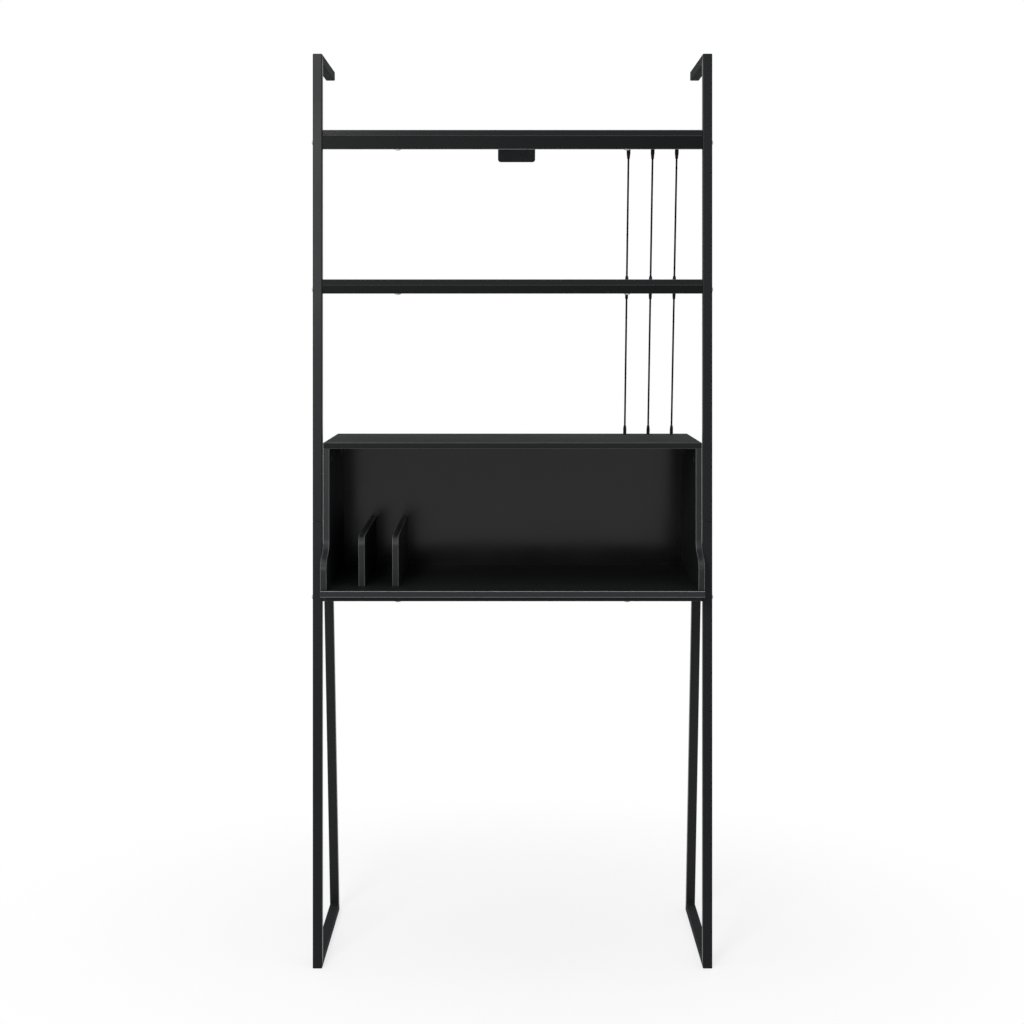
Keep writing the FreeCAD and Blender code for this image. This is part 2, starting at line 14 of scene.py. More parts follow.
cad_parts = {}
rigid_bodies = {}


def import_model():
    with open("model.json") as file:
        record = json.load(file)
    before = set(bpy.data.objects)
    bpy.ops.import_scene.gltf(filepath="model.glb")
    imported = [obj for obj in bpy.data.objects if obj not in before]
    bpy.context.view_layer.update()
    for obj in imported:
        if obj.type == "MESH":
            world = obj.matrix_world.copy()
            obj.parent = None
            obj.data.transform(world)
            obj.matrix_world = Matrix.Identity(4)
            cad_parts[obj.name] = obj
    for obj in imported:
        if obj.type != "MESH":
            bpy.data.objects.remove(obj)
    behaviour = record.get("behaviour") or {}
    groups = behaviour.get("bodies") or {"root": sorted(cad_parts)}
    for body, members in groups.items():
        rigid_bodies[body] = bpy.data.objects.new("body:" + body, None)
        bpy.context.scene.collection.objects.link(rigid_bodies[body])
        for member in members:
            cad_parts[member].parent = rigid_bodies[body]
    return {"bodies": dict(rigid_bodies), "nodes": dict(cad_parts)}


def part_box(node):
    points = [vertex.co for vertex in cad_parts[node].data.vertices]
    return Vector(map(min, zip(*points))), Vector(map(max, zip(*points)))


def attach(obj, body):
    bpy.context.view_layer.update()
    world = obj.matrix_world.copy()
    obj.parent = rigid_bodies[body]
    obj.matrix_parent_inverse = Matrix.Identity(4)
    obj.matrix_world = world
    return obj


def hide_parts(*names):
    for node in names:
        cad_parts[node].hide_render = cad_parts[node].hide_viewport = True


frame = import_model()
for startup_object in set(bpy.data.objects) - set(frame["nodes"].values()) - set(frame["bodies"].values()):
    bpy.data.objects.remove(startup_object)
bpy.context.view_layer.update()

BODY = "root"
SIDES = {"left": -1, "right": 1}
DOWN = Vector((0, 0, -1))
MM = 0.001
TURN = 2 * math.pi
SMOOTH_ANGLE = math.radians(38)
DOUBLES_APART = 1e-7
WHITE = "#ffffff"

Place = tuple[float, float, float]
Profile = Sequence[tuple[float, float]]

log = logging.getLogger("ladder_desk")


# Small tools

# The sRGB curve: a straight foot up to the knee, and a power above it.
SRGB_KNEE = 0.04045
SRGB_FOOT = 12.92
SRGB_LIFT = 0.055
SRGB_POWER = 2.4


def linear(hex_colour: str) -> tuple[float, float, float, float]:
    """Turns an sRGB hex colour to linear light.

    Args:
        hex_colour: Six hex digits after a hash sign.

    Returns:
        Red, green, blue and an alpha of one.
    """
    parts = [int(hex_colour[place:place + 2], 16) / 255 for place in (1, 3, 5)]
    red, green, blue = [
        part / SRGB_FOOT if part <= SRGB_KNEE else ((part + SRGB_LIFT) / (1 + SRGB_LIFT)) ** SRGB_POWER
        for part in parts
    ]
    return red, green, blue, 1.0


def live(node: bpy.types.Node) -> bpy.types.NodeSocket:
    """Gives the first output that a node has with its settings."""
    return next(end for end in node.outputs if end.enabled)


def add_node(
    tree: bpy.types.NodeTree, kind: str, inputs: dict[Any, Any] | None = None, **settings: Any,
) -> bpy.types.Node:
    """Adds a node with its settings and links.

    Args:
        tree: The tree that takes the node.
        kind: Blender's name for the node.
        inputs: For each input, by name or number, a value, an output or a node whose first output is meant.
        settings: The node's own properties.

    Returns:
        The new node.
    """
    node = tree.nodes.new(kind)
    for name, value in settings.items():
        setattr(node, name, value)
    for key, value in (inputs or {}).items():
        if isinstance(value, bpy.types.Node):
            value = live(value)
        if isinstance(value, bpy.types.NodeSocket):
            tree.links.new(value, node.inputs[key])
        else:
            node.inputs[key].default_value = value
    return node


def link_object(name: str, data: bpy.types.ID) -> bpy.types.Object:
    """Puts a mesh, curve, lamp or camera in the scene.

    Args:
        name: The name of the new object.
        data: What it shows.

    Returns:
        The object, at the origin.
    """
    made = bpy.data.objects.new(name, data)
    bpy.context.scene.collection.objects.link(made)
    return made


def mesh_object(name: str, shape: bmesh.types.BMesh) -> bpy.types.Object:
    """Makes an object of a shape that is finished.

    Args:
        name: The name of the new object.
        shape: The shape, freed afterwards.

    Returns:
        The object, at the origin.
    """
    mesh = bpy.data.meshes.new(name)
    shape.to_mesh(mesh)
    shape.free()
    return link_object(name, mesh)


def settle(piece: bpy.types.Object, slot: str, *nodes: str) -> bpy.types.Object:
    """Sets a finished piece on the desk's body.

    Args:
        piece: The piece, with its place in its mesh.
        slot: The record's material slot; not used.
        nodes: The CAD nodes that it stands for.

    Returns:
        The piece.
    """
    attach(piece, BODY)
    if nodes:
        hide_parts(*nodes)
    log.info("%s: %d faces, for %s", piece.name, len(piece.data.polygons), ", ".join(nodes) or "no node")
    return piece


# Finishes

# Names of nodes that are used often, and the numbers of the Mix node's two ends for each kind of value.
MATH = "ShaderNodeMath"
VECTOR_MATH = "ShaderNodeVectorMath"
MAP_RANGE = "ShaderNodeMapRange"
NOISE = "ShaderNodeTexNoise"
MIX = "ShaderNodeMix"
MIX_ENDS = {"FLOAT": (2, 3), "RGBA": (6, 7)}

# The part of a noise's range that is used, from hollow to crown.
GRAIN_LOW, GRAIN_HIGH = 0.32, 0.68
CLOUD_LOW, CLOUD_HIGH = 0.3, 0.7
CLOUD_DETAIL = 2.0

# How squarely a face looks along a board's face way: broad faces above FLAT, edges below EDGE, arrises between.
FLAT, NEARLY_FLAT = 0.97, 0.8
EDGE, NEARLY_EDGE = 0.12, 0.3

FINISHED = "desk_finish"


@dataclass(frozen=True, kw_only=True)
class Finish:
    """A surface with a grain in its colour and relief, and clouds in its gloss.

    Attributes:
        name: The material's name.
        colour: The colour on the crowns of the grain.
        shade: The colour in its hollows.
        roughness: The middle roughness.
        cloud_rough: How far the clouds move the roughness.
        cloud_mm: The width of a cloud.
        grain_mm: The width of a grain.
        relief_mm: The height of a grain.
        grain_detail: How many finer layers the grain has.
        specular: The shader's specular level.
        metallic: One for bare metal.
    """

    name: str
    colour: str
    shade: str
    roughness: float
    cloud_rough: float
    cloud_mm: float
    grain_mm: float
    relief_mm: float
    grain_detail: float = 3.0
    specular: float = 0.5
    metallic: float = 0.0

    def material(self) -> bpy.types.Material:
        """Builds the material, once.

        Returns:
            The finished material.
        """
        made = bpy.data.materials.get(self.name)
        if made and made.get(FINISHED):
            return made
        made = bpy.data.materials.new(self.name)
        made[FINISHED] = True
        made.use_nodes = True
        tree = made.node_tree
        tree.nodes.clear()
        shader = add_node(tree, "ShaderNodeBsdfPrincipled", {
            "Metallic": self.metallic,
            "Specular IOR Level": self.specular,
        })
        add_node(tree, "ShaderNodeOutputMaterial", {"Surface": shader})
        self.surface(tree, shader)
        return made

    def surface(self, tree: bpy.types.NodeTree, shader: bpy.types.Node) -> None:
        """Gives the shader its colour, gloss and relief.

        Args:
            tree: The material's tree.
            shader: Its Principled node.
        """
        place = add_node(tree, "ShaderNodeTexCoord").outputs["Object"]
        grain = add_node(tree, NOISE, {
            "Vector": self.drawn(tree, place), "Scale": 1 / (self.grain_mm * MM), "Detail": self.grain_detail,
        })
        tint = add_node(tree, "ShaderNodeValToRGB", {"Fac": grain})
        hollow, crown = tint.color_ramp.elements
        hollow.position, crown.position = GRAIN_LOW, GRAIN_HIGH
        hollow.color, crown.color = linear(self.shade), linear(self.colour)
        cloud = add_node(tree, NOISE, {
            "Vector": place, "Scale": 1 / (self.cloud_mm * MM), "Detail": CLOUD_DETAIL,
        })
        gloss = add_node(tree, MAP_RANGE, {
            "Value": cloud, "From Min": CLOUD_LOW, "From Max": CLOUD_HIGH,
            "To Min": self.roughness - self.cloud_rough, "To Max": self.roughness + self.cloud_rough,
        })
        relief = add_node(tree, "ShaderNodeBump", {
            "Height": grain, "Strength": 1.0, "Distance": self.relief_mm * MM,
        })
        for node, socket in ((tint, "Base Color"), (gloss, "Roughness"), (relief, "Normal")):
            tree.links.new(live(node), shader.inputs[socket])

    def drawn(self, tree: bpy.types.NodeTree, place: bpy.types.NodeSocket) -> bpy.types.NodeSocket:
        """Gives the coordinates of the grain, which is as long as it is wide."""
        return place


class FaceWay(Enum):
    """Which way the broad faces of a board look."""

    UP = "Z"
    SIDEWAYS = "X"
    FORWARD = "Y"


@dataclass(frozen=True, kw_only=True)
class Melamine(Finish):
    """A board whose broad faces are pressed paper in resin, and whose edges wear a glued plastic band.

    Attributes:
        face_way: The way of its broad faces.
        band_colour: The colour of the band.
        band_roughness: The band's roughness.
        arris_highlight_colour: A pale colour painted on the arrises as a highlight, where their rounding would
            catch the light.
        arris_roughness: Their roughness.
    """

    face_way: FaceWay = FaceWay.UP
    band_colour: str = "#151617"
    band_roughness: float = 0.21
    # A painted highlight: the arrises are tinted pale grey where their rounding would catch the light.
    arris_highlight_colour: str = "#5c6063"
    arris_roughness: float = 0.26

    def surface(self, tree: bpy.types.NodeTree, shader: bpy.types.Node) -> None:
        """Gives faces and edges their own colour and gloss, and paints a highlight on the arrises.

        Args:
            tree: The material's tree.
            shader: Its Principled node.
        """
        super().surface(tree, shader)
        normal = add_node(tree, "ShaderNodeNewGeometry").outputs["True Normal"]
        split = add_node(tree, "ShaderNodeSeparateXYZ", {"Vector": normal})
        facing = add_node(tree, MATH, {0: split.outputs[self.face_way.value]}, operation="ABSOLUTE")
        band = add_node(tree, MAP_RANGE, {"Value": facing, "From Min": FLAT, "From Max": NEARLY_FLAT})
        rising = add_node(tree, MAP_RANGE, {"Value": facing, "From Min": EDGE, "From Max": NEARLY_EDGE})
        # The arrises' share, which takes the painted highlight colour and the arrises' own roughness.
        arris_highlight = add_node(tree, MATH, {0: rising, 1: band}, operation="MULTIPLY")
        for share, socket, value, kind in (
            (band, "Base Color", linear(self.band_colour), "RGBA"),
            (band, "Roughness", self.band_roughness, "FLOAT"),
            (arris_highlight, "Base Color", linear(self.arris_highlight_colour), "RGBA"),
            (arris_highlight, "Roughness", self.arris_roughness, "FLOAT"),
        ):
            first, second = MIX_ENDS[kind]
            former = shader.inputs[socket].links[0].from_socket
            mixed = add_node(tree, MIX, {0: share, first: former, second: value}, data_type=kind)
            tree.links.new(live(mixed), shader.inputs[socket])


@dataclass(frozen=True, kw_only=True)
class Grained(Finish):
    """A surface drawn out along Z, as beech along its fibres or a plated bar along its brushing.

    Attributes:
        stretch: How many times longer than wide a grain is.
    """

    stretch: float
    grain_detail: float = 4.0

    def drawn(self, tree: bpy.types.NodeTree, place: bpy.types.NodeSocket) -> bpy.types.NodeSocket:
        """Stretches the coordinates of the grain along Z."""
        scale = (1.0, 1.0, 1 / self.stretch)
        return live(add_node(tree, "ShaderNodeMapping", {"Vector": place, "Scale": scale}))


# Steel tube, phosphated and powder-coated in satin black: the melted powder leaves a shallow orange peel that
# breaks the reflections. The peel of about 1 mm is drawn at 2.2 mm so that it shows.
POWDER_COAT = Finish(
    name="black_powder_coated_steel", colour="#111416", shade="#0d1012", specular=0.15,
    roughness=0.37, cloud_rough=0.03, cloud_mm=140.0, grain_mm=2.2, relief_mm=0.02,
)

# The rear legs and the rails and bars under the desk: a lit copy of the satin coat, painted a shade paler and
# less blue as painted light.
PAINTED_LIGHT_COAT = Finish(
    name="black_powder_coated_painted_light", colour="#202121", shade="#1b1c1c", specular=0.15,
    roughness=0.37, cloud_rough=0.03, cloud_mm=140.0, grain_mm=2.2, relief_mm=0.02,
)

# The shelf bars: a shaded copy of the satin coat, the same peel painted a shade deeper as painted shade under
# the boards' edges.
PAINTED_SHADE_COAT = Finish(
    name="black_powder_coated_bar_painted_shade", colour="#0b0e0f", shade="#080a0b", specular=0.085,
    roughness=0.40, cloud_rough=0.03, cloud_mm=140.0, grain_mm=2.2, relief_mm=0.02,
)

# The floor rails and the arms at the wall, coated in a matt powder that hides the scuffs of feet and walls:
# a dry black that mirrors little even at a flat angle. Its peel is drawn as coarse as the satin one's.
MATT_COAT = Finish(
    name="black_matt_powder_coated_steel", colour="#141719", shade="#101315", specular=0.10,
    roughness=0.85, cloud_rough=0.03, cloud_mm=140.0, grain_mm=2.2, relief_mm=0.03,
)

# The plate at the wall, coated in a textured powder: dull dark grey, with a dry wrinkle that scatters light.
TEXTURED_COAT = Finish(
    name="black_textured_powder_coated_steel", colour="#43484b", shade="#383c3f", specular=0.4,
    roughness=0.62, cloud_rough=0.05, cloud_mm=60.0, grain_mm=1.4, relief_mm=0.05,
)

# Particle board pressed with black melamine paper: a dry, even black with the print of a pearl plate in it.
# The pearls of about 0.6 mm are drawn at 1.6 mm. The edges are banded in satin ABS and shine a little more; the
# arrises carry a painted highlight in pale grey.
MELAMINE_DESK = Melamine(
    name="black_melamine_pressed_desk", colour="#0f1011", shade="#0b0c0d", specular=0.11,
    roughness=0.62, cloud_rough=0.04, cloud_mm=110.0, grain_mm=1.6, relief_mm=0.008,
    band_colour="#2c2e2f", arris_highlight_colour="#a0a4a7",
)
MELAMINE_LEVEL = Melamine(
    name="black_melamine_pressed_level", colour="#101112", shade="#0d0e0f", specular=0.15,
    roughness=0.94, cloud_rough=0.04, cloud_mm=110.0, grain_mm=1.6, relief_mm=0.012,
)
MELAMINE_SIDE = Melamine(
    name="black_melamine_pressed_side", colour="#0f1011", shade="#0c0d0d", specular=0.25,
    roughness=0.48, cloud_rough=0.03, cloud_mm=110.0, grain_mm=1.6, relief_mm=0.004,
    # A painted highlight on the arrises of the sides and dividers.
    face_way=FaceWay.SIDEWAYS, band_roughness=0.48, arris_highlight_colour="#777b7e",
)
MELAMINE_BACK = Melamine(
    name="black_melamine_pressed_back", colour="#060607", shade="#050505", specular=0.33,
    roughness=0.16, cloud_rough=0.02, cloud_mm=110.0, grain_mm=1.6, relief_mm=0.002,
    face_way=FaceWay.FORWARD,
)

# Polypropylene moulded in a spark-eroded tool: a soft black with a fine even bite, a little waxy on edges.
MOULDED_PLASTIC = Finish(
    name="black_polypropylene_moulded", colour="#0e0f10", shade="#0a0b0b", specular=0.14,
    roughness=0.46, cloud_rough=0.06, cloud_mm=25.0, grain_mm=0.5, relief_mm=0.012,
)

# Polyester yarn braided over a rubber core: dull black, with the sheen of the yarns on their crowns.
BRAIDED_ELASTIC = Finish(
    name="black_polyester_braided", colour="#0c0d0d", shade="#070808", specular=0.04,
    roughness=0.90, cloud_rough=0.06, cloud_mm=12.0, grain_mm=0.35, relief_mm=0.03,
)

# Steel screws, blackened in a hot salt bath and oiled: a dull, slightly patchy black.
BLACK_SCREWS = Finish(
    name="black_oxide_steel", colour="#0d0e0f", shade="#090a0a", specular=0.08,
    roughness=0.60, cloud_rough=0.08, cloud_mm=6.0, grain_mm=0.8, relief_mm=0.008,
)

# Frame bolts, cold-headed and bright zinc-plated: small pale heads with a faint cloud in their shine.
BRIGHT_BOLTS = Finish(
    name="zinc_plated_steel_headed", colour="#b4b7ba", shade="#9ea1a4", metallic=1.0,
    roughness=0.30, cloud_rough=0.06, cloud_mm=5.0, grain_mm=0.8, relief_mm=0.004,
)

# Zinc die-castings and plated pins of the hutch: pale grey metal, brushed along its length.
ZINC = Grained(
    name="zinc_die_cast_brushed", colour="#a9acae", shade="#8d9092", metallic=1.0,
    roughness=0.36, cloud_rough=0.06, cloud_mm=8.0, grain_mm=0.5, relief_mm=0.006, stretch=9.0,
)

# Beech dowels, turned and fluted: pale pinkish wood with short flecks along the fibre.
BEECH = Grained(
    name="beech_turned", colour="#c79a6b", shade="#b0804f",
    roughness=0.55, cloud_rough=0.05, cloud_mm=20.0, grain_mm=0.9, relief_mm=0.03, stretch=14.0,
)


def dress(finish: Finish, nodes: Iterable[str]) -> None:
    """Gives CAD nodes a finish.

    Args:
        finish: The finish.
        nodes: The nodes' names.
    """
    for node in nodes:
        for holder in frame["nodes"][node].material_slots:
            holder.material = finish.material()
        log.info("%s: %s", node, finish.name)


# Geometry Nodes trees

CIRCLE = "GeometryNodeCurvePrimitiveCircle"
RESAMPLE = "GeometryNodeResampleCurve"
SWEEP = "GeometryNodeCurveToMesh"
SMOOTH = "GeometryNodeSetShadeSmooth"
SEAT_AXIS = "axis"
YARN_SIDES = 5
CORE_SIDES = 12
BEAD_SIDES = 12
RIPPLE_SHARE = 0.14
BEAD_END_SHARE = 0.02
BEAD_END_POWER = 0.25


class NodeTool:
    """A Geometry Nodes tree with named inputs, and the way to run it into a plain mesh."""

    def __init__(self, name: str, sizes: Sequence[tuple[str, str]]) -> None:
        """Starts the tree.

        Args:
            name: The tree's name.
            sizes: The name and kind of each input, besides the geometry and the finish.
        """
        self.tree = bpy.data.node_groups.new(name, "GeometryNodeTree")
        self.tree.interface.new_socket("Geometry", in_out="INPUT", socket_type="NodeSocketGeometry")
        for label, kind in sizes:
            self.tree.interface.new_socket(label, in_out="INPUT", socket_type="NodeSocket" + kind)
        self.tree.interface.new_socket("Finish", in_out="INPUT", socket_type="NodeSocketMaterial")
        self.tree.interface.new_socket("Geometry", in_out="OUTPUT", socket_type="NodeSocketGeometry")
        self.given = add_node(self.tree, "NodeGroupInput").outputs

    def close(self, made: bpy.types.Node) -> None:
        """Ends the tree in real faces of the given finish.

        Args:
            made: The node that gives the geometry so far.
        """
        real = add_node(self.tree, "GeometryNodeRealizeInstances", {"Geometry": made})
        dressed = add_node(self.tree, "GeometryNodeSetMaterial", {
            "Geometry": real, "Material": self.given["Finish"],
        })
        add_node(self.tree, "NodeGroupOutput", {"Geometry": dressed})

    def run(self, base: bpy.types.Object, name: str, values: dict[str, Any]) -> bpy.types.Object:
        """Runs the tree on a base and keeps only the plain mesh that it makes.

        Args:
            base: The object that the tree starts from, removed afterwards.
            name: The name of the new piece.
            values: The value of each named input.

        Returns:
            The new piece.
        """
        modifier = base.modifiers.new(self.tree.name, "NODES")
        modifier.node_group = self.tree
        for item in self.tree.interface.items_tree:
            if item.in_out == "INPUT" and item.name in values:
                modifier[item.identifier] = values[item.name]
        graph = bpy.context.evaluated_depsgraph_get()
        mesh = bpy.data.meshes.new_from_object(base.evaluated_get(graph))
        base.modifiers.remove(modifier)
        bpy.data.objects.remove(base)
        mesh.name = name
        return link_object(name, mesh)


def seats_tool() -> NodeTool:
    """Builds the tree that sets one form on many seats, each turned about its own axis by chance.

    Returns:
        The tool.
    """
    tool = NodeTool("set_on_seats", (("Form", "Object"), ("Turn Seed", "Int"), ("Most Turn", "Float")))
    tree, given = tool.tree, tool.given
    axis = add_node(tree, "GeometryNodeInputNamedAttribute", {"Name": SEAT_AXIS}, data_type="FLOAT_VECTOR")
    stand = add_node(tree, "FunctionNodeAlignRotationToVector", {"Vector": axis.outputs["Attribute"]}, axis="Z")
    chance = add_node(tree, "FunctionNodeRandomValue", {"Seed": given["Turn Seed"]}, data_type="FLOAT")
    turn = add_node(tree, MATH, {0: chance, 1: given["Most Turn"]}, operation="MULTIPLY")
    spin = add_node(tree, "FunctionNodeAxisAngleToRotation", {"Axis": (0.0, 0.0, 1.0), "Angle": turn})
    pose = add_node(tree, "FunctionNodeRotateRotation", {
        "Rotation": stand, "Rotate By": spin,
    }, rotation_space="LOCAL")
    form = add_node(tree, "GeometryNodeObjectInfo", {"Object": given["Form"]})
    placed = add_node(tree, "GeometryNodeInstanceOnPoints", {
        "Points": given["Geometry"], "Instance": form.outputs["Geometry"], "Rotation": pose,
    })
    tool.close(placed)
    return tool


def braid_tool() -> NodeTool:
    """Builds the tree that braids yarns of both hands over a core, along a curve.

    Returns:
        The tool.
    """
    tool = NodeTool("braid_along_cord", (
        ("Core Radius", "Float"), ("Yarn Radius", "Float"), ("Lift", "Float"),
        ("Yarns", "Int"), ("Turns per Metre", "Float"), ("Samples", "Int"),
    ))
    tree, given = tool.tree, tool.given
    line = add_node(tree, RESAMPLE, {"Curve": given["Geometry"], "Count": given["Samples"]})
    along = add_node(tree, "GeometryNodeSplineParameter").outputs["Length"]
    turns = add_node(tree, MATH, {0: along, 1: given["Turns per Metre"]}, operation="MULTIPLY")
    swept = add_node(tree, MATH, {0: turns, 1: TURN}, operation="MULTIPLY")
    beat = add_node(tree, MATH, {0: swept, 1: given["Yarns"]}, operation="MULTIPLY")
    weave = add_node(tree, MATH, {0: beat}, operation="COSINE")
    normal = add_node(tree, "GeometryNodeInputNormal").outputs["Normal"]
    tangent = add_node(tree, "GeometryNodeInputTangent").outputs["Tangent"]
    across = add_node(tree, VECTOR_MATH, {0: tangent, 1: normal}, operation="CROSS_PRODUCT")
    yarn_ring = add_node(tree, CIRCLE, {"Resolution": YARN_SIDES, "Radius": given["Yarn Radius"]})
    core_ring = add_node(tree, CIRCLE, {"Resolution": CORE_SIDES, "Radius": given["Core Radius"]})
    core = add_node(tree, SWEEP, {"Curve": line, "Profile Curve": core_ring, "Fill Caps": True})
    joined = add_node(tree, "GeometryNodeJoinGeometry", {0: core})
    for hand in (1.0, -1.0):
        copies = add_node(tree, "GeometryNodeDuplicateElements", {
            "Geometry": line, "Amount": given["Yarns"],
        }, domain="SPLINE")
        number = copies.outputs["Duplicate Index"]
        share = add_node(tree, MATH, {0: number, 1: given["Yarns"]}, operation="DIVIDE")
        start = add_node(tree, MATH, {0: share, 1: TURN}, operation="MULTIPLY")
        angle = add_node(tree, MATH, {0: swept, 1: hand, 2: start}, operation="MULTIPLY_ADD")
        over = add_node(tree, MATH, {0: weave, 1: hand}, operation="MULTIPLY")
        radius = add_node(tree, MATH, {
            0: over, 1: given["Lift"], 2: given["Core Radius"],
        }, operation="MULTIPLY_ADD")
        arms = []
        for direction, part in ((normal, "COSINE"), (across, "SINE")):
            turned = add_node(tree, MATH, {0: angle}, operation=part)
            reach = add_node(tree, MATH, {0: radius, 1: turned}, operation="MULTIPLY")
            arms.append(add_node(tree, VECTOR_MATH, {0: direction, "Scale": reach}, operation="SCALE"))
        offset = add_node(tree, VECTOR_MATH, dict(enumerate(arms)), operation="ADD")
        yarns = add_node(tree, "GeometryNodeSetPosition", {"Geometry": copies, "Offset": offset})
        swollen = add_node(tree, SWEEP, {"Curve": yarns, "Profile Curve": yarn_ring, "Fill Caps": True})
        tree.links.new(live(swollen), joined.inputs[0])
    tool.close(add_node(tree, SMOOTH, {"Geometry": joined}))
    return tool


def bead_tool() -> NodeTool:
    """Builds the tree that lays a rippled weld bead along each line of a curve.

    Returns:
        The tool.
    """
    tool = NodeTool("weld_bead_along_joint", (
        ("Bead Radius", "Float"), ("Ripple", "Float"), ("Step", "Float"),
    ))
    tree, given = tool.tree, tool.given
    line = add_node(tree, RESAMPLE, {"Curve": given["Geometry"], "Length": given["Step"]}, mode="LENGTH")
    spline = add_node(tree, "GeometryNodeSplineParameter").outputs
    angle = add_node(tree, MATH, {0: spline["Length"], 1: TURN}, operation="MULTIPLY")
    phase = add_node(tree, MATH, {0: angle, 1: given["Ripple"]}, operation="DIVIDE")
    wave = add_node(tree, MATH, {0: phase}, operation="SINE")
    swell = add_node(tree, MATH, {0: wave, 1: RIPPLE_SHARE, 2: 1.0}, operation="MULTIPLY_ADD")
    run = add_node(tree, MATH, {0: spline["Factor"], 1: math.pi}, operation="MULTIPLY")
    rise = add_node(tree, MATH, {0: run}, operation="SINE")
    held = add_node(tree, MATH, {0: rise, 1: BEAD_END_SHARE}, operation="MAXIMUM")
    body = add_node(tree, MATH, {0: held, 1: BEAD_END_POWER}, operation="POWER")
    scale = add_node(tree, MATH, {0: body, 1: swell}, operation="MULTIPLY")
    sized = add_node(tree, "GeometryNodeSetCurveRadius", {"Curve": line, "Radius": scale})
    ring = add_node(tree, CIRCLE, {"Resolution": BEAD_SIDES, "Radius": given["Bead Radius"]})
    radius = add_node(tree, "GeometryNodeInputRadius")
    bead = add_node(tree, SWEEP, {"Curve": sized, "Profile Curve": ring, "Scale": radius, "Fill Caps": True})
    tool.close(add_node(tree, SMOOTH, {"Geometry": bead}))
    return tool


# Forms that are set on seats

class Drive(Enum):
    """The recess in a head."""

    HEXAGON = "hexagon"
    CROSS = "cross"


def turned_form(name: str, profile: Profile, steps: int) -> bpy.types.Object:
    """Turns a profile about Z into a closed form.

    Args:
        name: The form's name.
        profile: Radius and height pairs in millimetres, from axis to axis.
        steps: How many steps make the round.

    Returns:
        The form, at the origin.
    """
    shape = bmesh.new()
    corners = [shape.verts.new((radius * MM, 0.0, height * MM)) for radius, height in profile]
    edges = [shape.edges.new(pair) for pair in zip(corners, corners[1:])]
    bmesh.ops.spin(shape, geom=corners + edges, cent=(0, 0, 0), axis=(0, 0, 1), angle=TURN, steps=steps)
    bmesh.ops.remove_doubles(shape, verts=shape.verts, dist=DOUBLES_APART)
    bmesh.ops.recalc_face_normals(shape, faces=shape.faces)
    return mesh_object(name, shape)


@dataclass(frozen=True, kw_only=True)
class HeadForm:
    """A domed fixing, drawn head up, with its seat at the origin and its shank below. Sizes in millimetres."""

    name: str
    head: float
    rise: float
    shank: float
    length: float
    drive: Drive
    drive_size: float
    drive_depth: float
    rim: float = 0.5
    chamfer: float = 0.15
    point: float = 0.0
    overrun: float = 1.0
    cross_slimness: float = 4.5
    dome_steps: int = 8
    round_steps: int = 36

    def profile(self) -> list[tuple[float, float]]:
        """Draws the dome, the rim, the shank and the point.

        Returns:
            Radius and height pairs from the crown to the tip.
        """
        half, shank = self.head / 2, self.shank / 2
        dome = self.rise - self.rim
        bend = (half * half + dome * dome) / (2 * dome)
        spread = math.asin(half / bend)
        leans = [spread * step / self.dome_steps for step in range(self.dome_steps + 1)]
        outline = [(bend * math.sin(lean), self.rise - bend + bend * math.cos(lean)) for lean in leans]
        outline += [(half, self.chamfer), (half - self.chamfer, 0.0), (shank, 0.0)]
        outline += [(shank, self.point - self.length), (0.0, -self.length)]
        return outline

    def recess_outline(self) -> list[tuple[float, float]]:
        """Draws the recess as seen from above.

        Returns:
            Its corners, in order.
        """
        if self.drive is Drive.HEXAGON:
            arm, count = [(self.drive_size / math.sqrt(3), 0.0)], 6
        else:
            reach = self.drive_size / 2
            half = reach / self.cross_slimness
            arm, count = [(reach, -half), (reach, half), (half, half)], 4
        turns = [step * TURN / count for step in range(count)]
        return [
            (x * math.cos(turn) - y * math.sin(turn), x * math.sin(turn) + y * math.cos(turn))
            for turn in turns for x, y in arm
        ]

    def recess(self) -> bpy.types.Object:
        """Makes the block that cuts the recess.

        Returns:
            The cutter.
        """
        shape = bmesh.new()
        outline = self.recess_outline()
        floor, top = [
            [shape.verts.new((x * MM, y * MM, z * MM)) for x, y in outline]
            for z in (self.rise - self.drive_depth, self.rise + self.overrun)
        ]
        shape.faces.new(floor)
        shape.faces.new(top)
        for place in range(len(outline)):
            after = (place + 1) % len(outline)
            shape.faces.new((floor[place], floor[after], top[after], top[place]))
        bmesh.ops.recalc_face_normals(shape, faces=shape.faces)
        return mesh_object(self.name + "_recess", shape)

    def build(self) -> bpy.types.Object:
        """Makes the fixing with its recess.

        Returns:
            The form, at the origin.
        """
        form = turned_form(self.name, self.profile(), self.round_steps)
        cutter = self.recess()
        cut = form.modifiers.new("recess", "BOOLEAN")
        cut.operation = "DIFFERENCE"
        cut.solver = "EXACT"
        cut.object = cutter
        graph = bpy.context.evaluated_depsgraph_get()
        form.data = bpy.data.meshes.new_from_object(form.evaluated_get(graph))
        form.modifiers.clear()
        bpy.data.objects.remove(cutter)
        return form


@dataclass(frozen=True)
class Seat:
    """Where a fixing sits: the middle of its seat and the way that its head looks."""

    place: Vector
    outward: Vector


